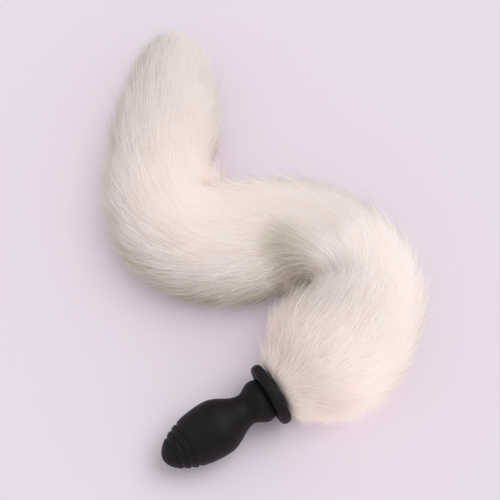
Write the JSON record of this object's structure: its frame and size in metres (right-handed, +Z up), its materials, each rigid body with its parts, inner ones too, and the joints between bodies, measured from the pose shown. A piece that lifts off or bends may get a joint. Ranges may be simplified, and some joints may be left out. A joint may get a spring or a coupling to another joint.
{
  "type": "tail plug",
  "caption": "Black silicone plug with a ribbed nose, bulb, waist and round flange, and a long white fur tail lying in an S curve from the flange.",
  "frame": {"origin": "on the table, under the middle of the object's bounding box", "axes": "+Z up from the table; +Y away from the picture's viewer, from the plug's side of the S towards the tail's end; +X to the picture's right"},
  "size_m": [0.1894, 0.2734, 0.0559],
  "materials": {
    "silicone": "matte",
    "post": "satin",
    "fur": "deep soft pile"
  },
  "bodies": {
    "root": {"plug_body": "silicone", "tail_post": "post", "fur_tail": "fur"}
  },
  "joints": []
}
